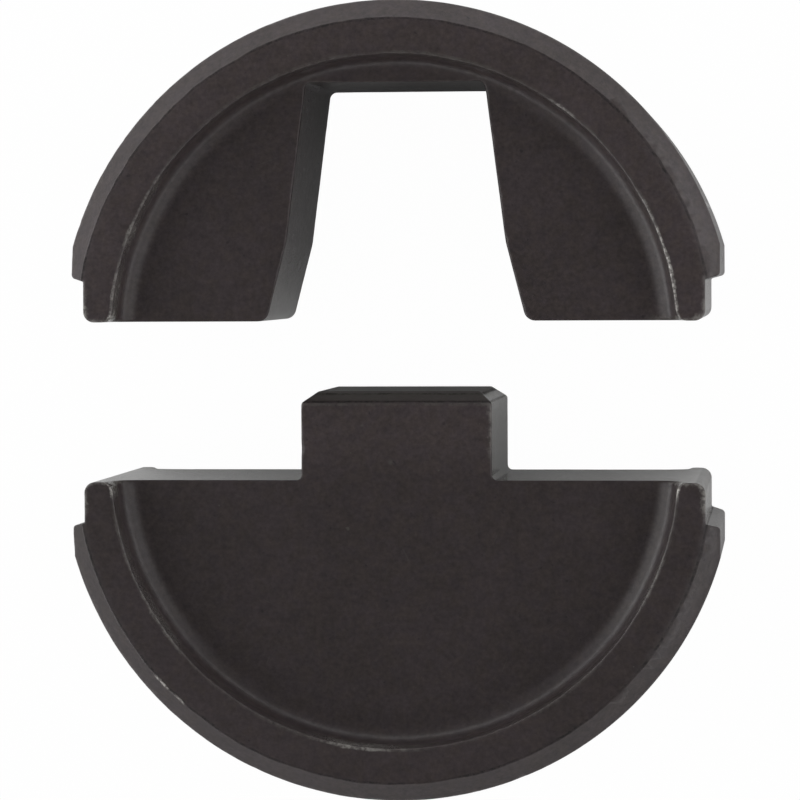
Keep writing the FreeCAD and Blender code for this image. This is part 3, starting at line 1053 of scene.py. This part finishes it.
def make_floor():
    """A wide pale floor: nearly plain white to the camera, and in itself dimmer towards the front."""
    half = FLOOR_HALF
    corners = [(-half, -half, 0), (half, -half, 0), (half, half, 0), (-half, half, 0)]
    mesh = bpy.data.meshes.new("floor")
    mesh.from_pydata(corners, [], [(0, 1, 2, 3)])
    floor = bpy.data.objects.new("floor", mesh)
    bpy.context.scene.collection.objects.link(floor)
    floor.location.z = -FLOOR_DROP * MM
    material = bpy.data.materials.new("pale_floor")
    material.use_nodes = True
    tree = material.node_tree
    shader = tree.nodes["Principled BSDF"]
    where = tree.nodes.new("ShaderNodeTexCoord")
    split = tree.nodes.new("ShaderNodeSeparateXYZ")
    tree.links.new(where.outputs["Object"], split.inputs[0])
    along = sums(tree, "MULTIPLY_ADD", split.outputs["Y"], 0.5 / FLOOR_FADE_HALF, 0.5)
    tree.links.new(levels_by(tree, along, FLOOR_LEVELS), shader.inputs["Base Color"])
    shader.inputs["Roughness"].default_value = FLOOR_ROUGHNESS
    shader.inputs["Specular IOR Level"].default_value = 0.0
    rays = tree.nodes.new("ShaderNodeLightPath").outputs
    seen = sums(tree, "MAXIMUM", rays["Is Camera Ray"], rays["Is Transmission Ray"])
    seen = sums(tree, "MULTIPLY", seen, FLOOR_SHARE_SEEN)
    glow = tree.nodes.new("ShaderNodeEmission")
    mix = tree.nodes.new("ShaderNodeMixShader")
    tree.links.new(seen, mix.inputs["Fac"])
    tree.links.new(shader.outputs["BSDF"], mix.inputs[1])
    tree.links.new(glow.outputs["Emission"], mix.inputs[2])
    tree.links.new(mix.outputs[0], tree.nodes["Material Output"].inputs["Surface"])
    mesh.materials.append(material)


def make_world():
    """A light tent: bright low down all round, a tall panel at each side, dim overhead."""
    world = bpy.data.worlds.new("light_tent")
    bpy.context.scene.world = world
    world.use_nodes = True
    tree = world.node_tree
    where = tree.nodes.new("ShaderNodeTexCoord")
    split = tree.nodes.new("ShaderNodeSeparateXYZ")
    tree.links.new(where.outputs["Generated"], split.inputs[0])
    across, along, up = (split.outputs[axis] for axis in "XYZ")
    flat = tree.nodes.new("ShaderNodeCombineXYZ")
    tree.links.new(across, flat.inputs["X"])
    tree.links.new(along, flat.inputs["Y"])
    way = tree.nodes.new("ShaderNodeVectorMath")
    way.operation = "NORMALIZE"
    tree.links.new(flat.outputs[0], way.inputs[0])
    level = sums(tree, "MULTIPLY", levels_by(tree, up, SKY_LEVELS), SKY_SCALE)
    for turn, full, end, strength in PANELS:
        facing = tree.nodes.new("ShaderNodeVectorMath")
        facing.operation = "DOT_PRODUCT"
        facing.inputs[1].default_value = (math.cos(math.radians(turn)), math.sin(math.radians(turn)), 0)
        tree.links.new(way.outputs["Vector"], facing.inputs[0])
        near = spread(tree, facing.outputs["Value"], math.cos(math.radians(end)),
                      math.cos(math.radians(full)))
        panel = sums(tree, "MULTIPLY", near, levels_by(tree, up, PANEL_LEVELS))
        level = sums(tree, "MULTIPLY_ADD", panel, strength, level)
    fall = sums(tree, "MULTIPLY_ADD", along, SKY_FALL_ALONG, 1.0)
    fall = sums(tree, "MULTIPLY_ADD", across, SKY_FALL_ACROSS, fall)
    level = sums(tree, "MULTIPLY", level, fall)
    sky = tree.nodes["Background"]
    sky.inputs["Color"].default_value = (1, 1, 1, 1)
    tree.links.new(level, sky.inputs["Strength"])
    plain = tree.nodes.new("ShaderNodeBackground")
    plain.inputs["Color"].default_value = (1, 1, 1, 1)
    mix = tree.nodes.new("ShaderNodeMixShader")
    tree.links.new(tree.nodes.new("ShaderNodeLightPath").outputs["Is Camera Ray"], mix.inputs["Fac"])
    tree.links.new(sky.outputs[0], mix.inputs[1])
    tree.links.new(plain.outputs[0], mix.inputs[2])
    tree.links.new(mix.outputs[0], tree.nodes["World Output"].inputs["Surface"])


# The camera: place, lens and sensor in millimetres, turns in radians, nearest and farthest in metres
CAMERA_PLACE = (33.21, 10.83, 337.82)
CAMERA_TILT = -0.0343
CAMERA_PAN = 0.10342
CAMERA_ROLL = -0.0045
CAMERA_LENS = 169.06
CAMERA_SENSOR = 36
CAMERA_NEAREST = 0.01
CAMERA_FARTHEST = 20


def make_camera():
    """The photograph's viewpoint: above the dies, a little to their right."""
    data = bpy.data.cameras.new("camera")
    data.lens = CAMERA_LENS
    data.sensor_width = CAMERA_SENSOR
    data.clip_start = CAMERA_NEAREST
    data.clip_end = CAMERA_FARTHEST
    camera = bpy.data.objects.new("camera", data)
    camera.location = Vector(CAMERA_PLACE) * MM
    camera.rotation_mode = "QUATERNION"
    turn = Matrix.Rotation(CAMERA_ROLL, 3, "Z")
    turn = turn @ Matrix.Rotation(CAMERA_PAN, 3, "Y") @ Matrix.Rotation(CAMERA_TILT, 3, "X")
    camera.rotation_quaternion = turn.to_quaternion()
    bpy.context.scene.collection.objects.link(camera)
    bpy.context.scene.camera = camera


make_floor()
make_world()
make_camera()
bpy.context.scene.view_settings.view_transform = "Standard"
